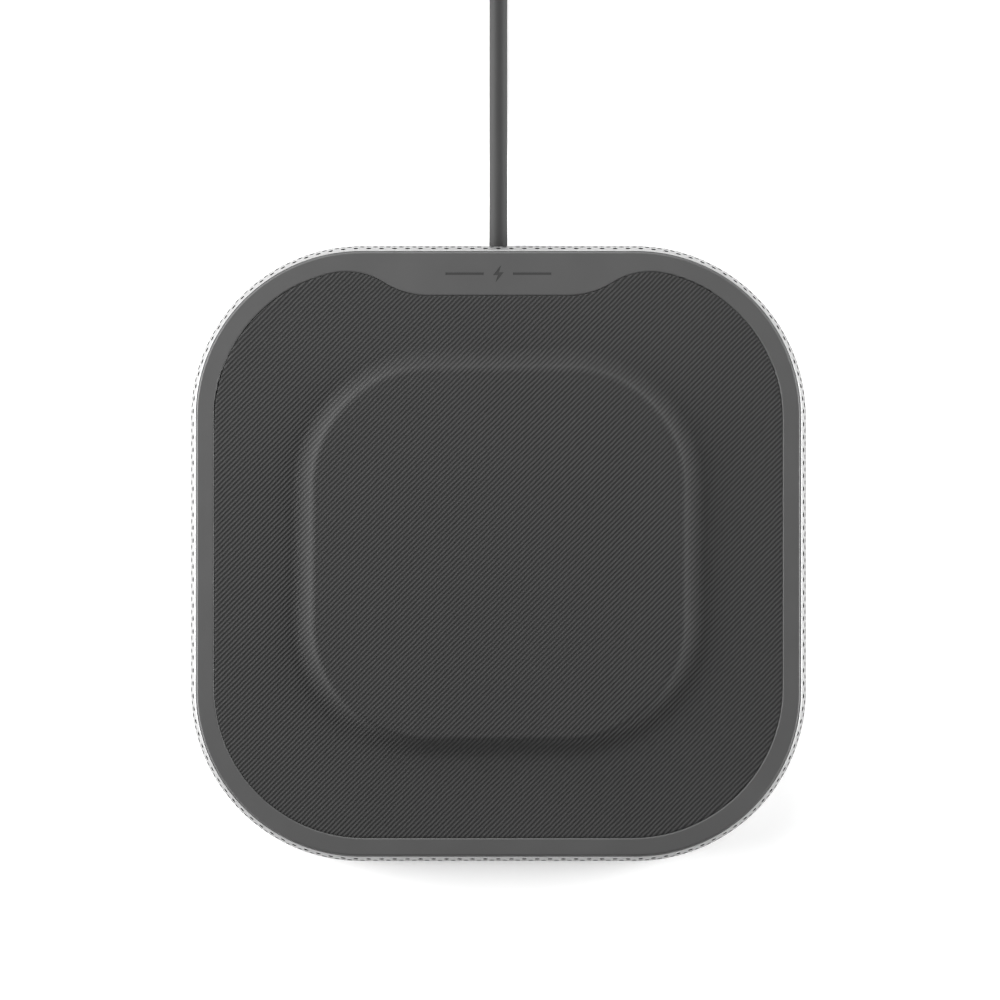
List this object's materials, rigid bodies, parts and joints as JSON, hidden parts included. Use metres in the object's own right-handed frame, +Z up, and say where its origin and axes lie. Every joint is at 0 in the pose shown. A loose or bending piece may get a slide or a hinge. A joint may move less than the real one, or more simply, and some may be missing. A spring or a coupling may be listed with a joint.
{
  "type": "wireless charging pad",
  "caption": "Rounded-square wireless charging pad with a raised cloth-covered plateau, a perforated metal band round its side and a captive cord with a USB plug.",
  "frame": {"origin": "middle of the pad on the surface that its foot ring stands on", "axes": "+Z up, out of the charging face; +Y to the back edge, where the cord leaves; +X to the right seen from the front"},
  "size_m": [0.149, 0.2264, 0.0126],
  "materials": {
    "shell_plastic": "fine moulded grain",
    "liner_plastic": "black, plain",
    "bezel_plastic": "very fine moulded grain, satin",
    "band_metal": "perforated sheet, bead blasted and anodised clear",
    "twill_cloth": "diagonal twill weave, matt",
    "backing_sheet": "plain",
    "foot_rubber": "matt silicone rubber",
    "tape": "acrylic foam tape",
    "screw_steel": "plated",
    "carrier_plastic": "plain",
    "ferrite": "sintered, matt",
    "litz_copper": "enamelled litz under a thin served sleeve",
    "lead_sleeve": "insulated wire",
    "sensor_epoxy": "dipped bead",
    "board_laminate": "solder mask",
    "chip_epoxy": "moulded epoxy",
    "capacitor_body": "ceramic block",
    "connector_plastic": "moulded",
    "gap_silicone": "soft filled silicone",
    "cord_jacket": "smooth satin jacket",
    "tie_strap": "hook and loop strap",
    "plug_plastic": "satin overmould",
    "plug_steel": "nickel plated sheet",
    "tongue_plastic": "moulded",
    "contact_gold": "gold flash"
  },
  "bodies": {
    "root": {"base_cover": "shell_plastic", "foot_ring": "foot_rubber", "mid_frame": "liner_plastic", "perforated_band": "band_metal", "top_plate": "shell_plastic", "fabric_backing": "backing_sheet", "fabric_cover": "twill_cloth", "bezel_tape": "tape", "top_bezel": "bezel_plastic", "mark_inlay": "liner_plastic", "base_screws": "screw_steel", "coil_carrier": "carrier_plastic", "ferrite_plate": "ferrite", "charging_coil": "litz_copper", "coil_leads": "lead_sleeve", "carrier_screws": "screw_steel", "thermistor": "sensor_epoxy", "thermistor_leads": "lead_sleeve", "main_board": "board_laminate", "board_screws": "screw_steel", "controller_chip": "chip_epoxy", "bridge_transistors": "chip_epoxy", "resonant_capacitors": "capacitor_body", "input_capacitors": "capacitor_body", "gate_resistors": "chip_epoxy", "power_inductor": "ferrite", "wire_connector": "connector_plastic", "power_wires": "lead_sleeve", "thermal_pad": "gap_silicone", "cord_clamp": "carrier_plastic", "clamp_screws": "screw_steel", "cord_grommet": "foot_rubber", "cord_inner_end": "cord_jacket", "cord_tube": "cord_jacket", "cord_coil": "cord_jacket", "cord_tail": "cord_jacket", "cord_tie": "tie_strap", "plug_overmould": "plug_plastic", "plug_shell": "plug_steel", "plug_tongue": "tongue_plastic", "plug_contacts": "contact_gold"}
  },
  "joints": []
}
